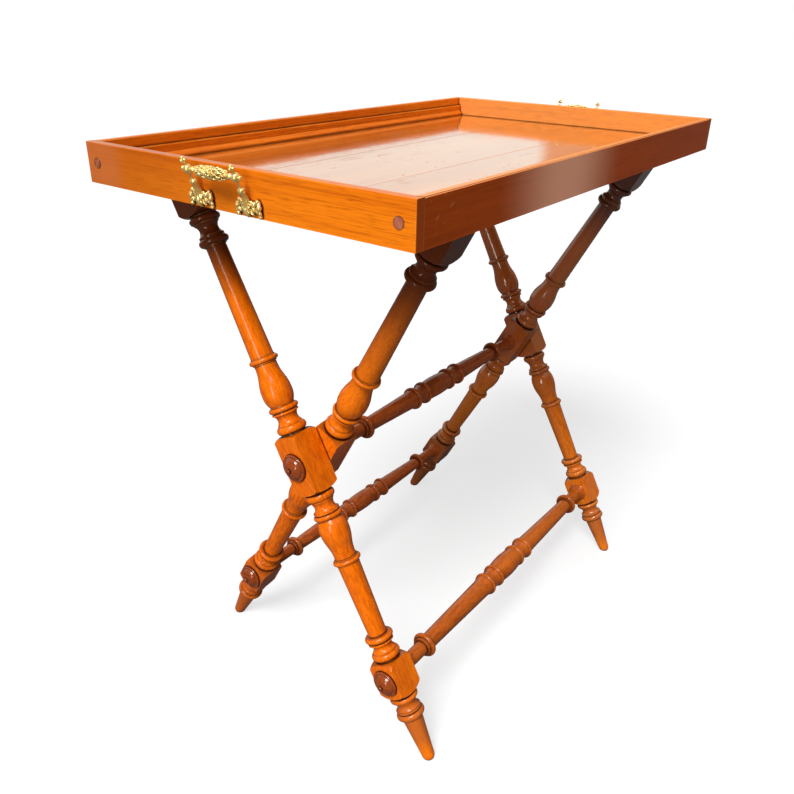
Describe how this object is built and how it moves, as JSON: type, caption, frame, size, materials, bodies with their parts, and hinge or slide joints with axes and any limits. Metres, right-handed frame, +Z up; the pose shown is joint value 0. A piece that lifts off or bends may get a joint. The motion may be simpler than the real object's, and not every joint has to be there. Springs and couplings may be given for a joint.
{
  "type": "butlers tray table",
  "caption": "Rectangular wooden serving tray with brass handles, lying on a folding stand of turned crossed legs joined by turned stretchers.",
  "frame": {"origin": "on the floor, under the middle of the tray", "axes": "+X along the stretchers, the long way of the tray, +Y across it towards the tops of the outer legs, +Z up"},
  "size_m": [0.8896, 0.5, 0.839],
  "materials": {
    "leg_wood": "polished orange-brown",
    "stretcher_wood": "polished red-brown",
    "cap_wood": "polished dark red-brown",
    "floor_wood": "high polish",
    "wall_wood": "satin polish",
    "gilt_brass": "polished casting"
  },
  "bodies": {
    "outer_frame": {"outer_leg_left": "leg_wood", "outer_leg_right": "leg_wood", "outer_foot_cap_left": "cap_wood", "outer_foot_cap_right": "cap_wood", "outer_top_rail": "stretcher_wood", "front_stretcher": "stretcher_wood"},
    "inner_frame": {"inner_leg_left": "leg_wood", "inner_leg_right": "leg_wood", "inner_foot_cap_left": "cap_wood", "inner_foot_cap_right": "cap_wood", "inner_top_rail": "stretcher_wood", "back_stretcher": "stretcher_wood", "pivot_stretcher": "stretcher_wood", "pivot_cap_left": "cap_wood", "pivot_cap_right": "cap_wood"},
    "tray": {"tray_floor_board_front": "floor_wood", "tray_floor_board_middle": "floor_wood", "tray_floor_board_back": "floor_wood", "tray_side_front": "wall_wood", "tray_side_back": "wall_wood", "tray_end_left": "wall_wood", "tray_end_right": "wall_wood", "corner_plugs": "cap_wood", "left_handle_grip": "gilt_brass", "left_handle_post_front": "gilt_brass", "left_handle_post_back": "gilt_brass", "left_handle_finials": "gilt_brass", "left_handle_screws": "gilt_brass", "right_handle_grip": "gilt_brass", "right_handle_post_front": "gilt_brass", "right_handle_post_back": "gilt_brass", "right_handle_finials": "gilt_brass", "right_handle_screws": "gilt_brass"}
  },
  "joints": [
    {"name": "stand_fold", "type": "hinge", "parent": "outer_frame", "child": "inner_frame", "pos_m": [0, 0, 0.419], "axis": [-1, 0, 0], "range_deg": [0, 49]},
    {"name": "tray_lift", "type": "slide", "parent": "outer_frame", "child": "tray", "axis": [0, 0, 1], "range_m": [0, 0.343]}
  ],
  "couplings": [
    {"joint": "tray_lift", "follows": "stand_fold", "m_per_rad": 0.4}
  ]
}
